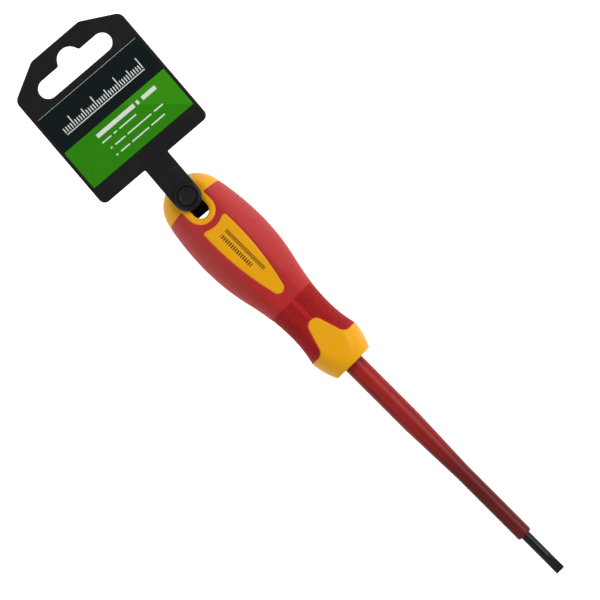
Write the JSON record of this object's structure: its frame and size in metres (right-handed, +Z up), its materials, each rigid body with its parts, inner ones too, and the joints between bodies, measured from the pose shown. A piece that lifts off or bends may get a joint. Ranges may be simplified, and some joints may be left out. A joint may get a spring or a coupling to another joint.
{
  "type": "insulated screwdriver",
  "caption": "Slotted screwdriver with an insulated blade sleeve, a hard handle core under a soft grip, and a swinging retail hang card pinned through the butt's slot.",
  "frame": {"origin": "centre of the guard's front face, on the blade's axis", "axes": "+X along the blade to the tip; +Z up, out of the front facet, with the tool lying on its back"},
  "size_m": [0.2495, 0.0499, 0.027],
  "materials": {
    "black_steel": "blackened tool steel, satin",
    "sleeve_plastic": "moulded insulation, satin",
    "yellow_plastic": "moulded hard plastic, satin gloss",
    "red_soft_grip": "soft-touch, matt, with a fine square grid near the guard",
    "black_plastic": "moulded, satin",
    "printed_label": "printed film, dark band over green",
    "plain_label": "plain white film"
  },
  "bodies": {
    "handle": {"blade_bar": "black_steel", "blade_sleeve": "sleeve_plastic", "handle_core": "yellow_plastic", "grip_shell": "red_soft_grip"},
    "pin": {"snap_pin": "black_plastic"},
    "hanger": {"hanger_card": "black_plastic", "hanger_strap": "black_plastic", "front_label": "printed_label", "back_label": "plain_label"}
  },
  "joints": [
    {"name": "pin_slide", "type": "slide", "parent": "handle", "child": "pin", "axis": [1, 0, 0], "range_m": [0, 0.0024]},
    {"name": "hanger_swing", "type": "hinge", "parent": "pin", "child": "hanger", "pos_m": [-0.08, 0, 0], "axis": [0, 0, 1], "range_deg": [-88, 96]}
  ]
}
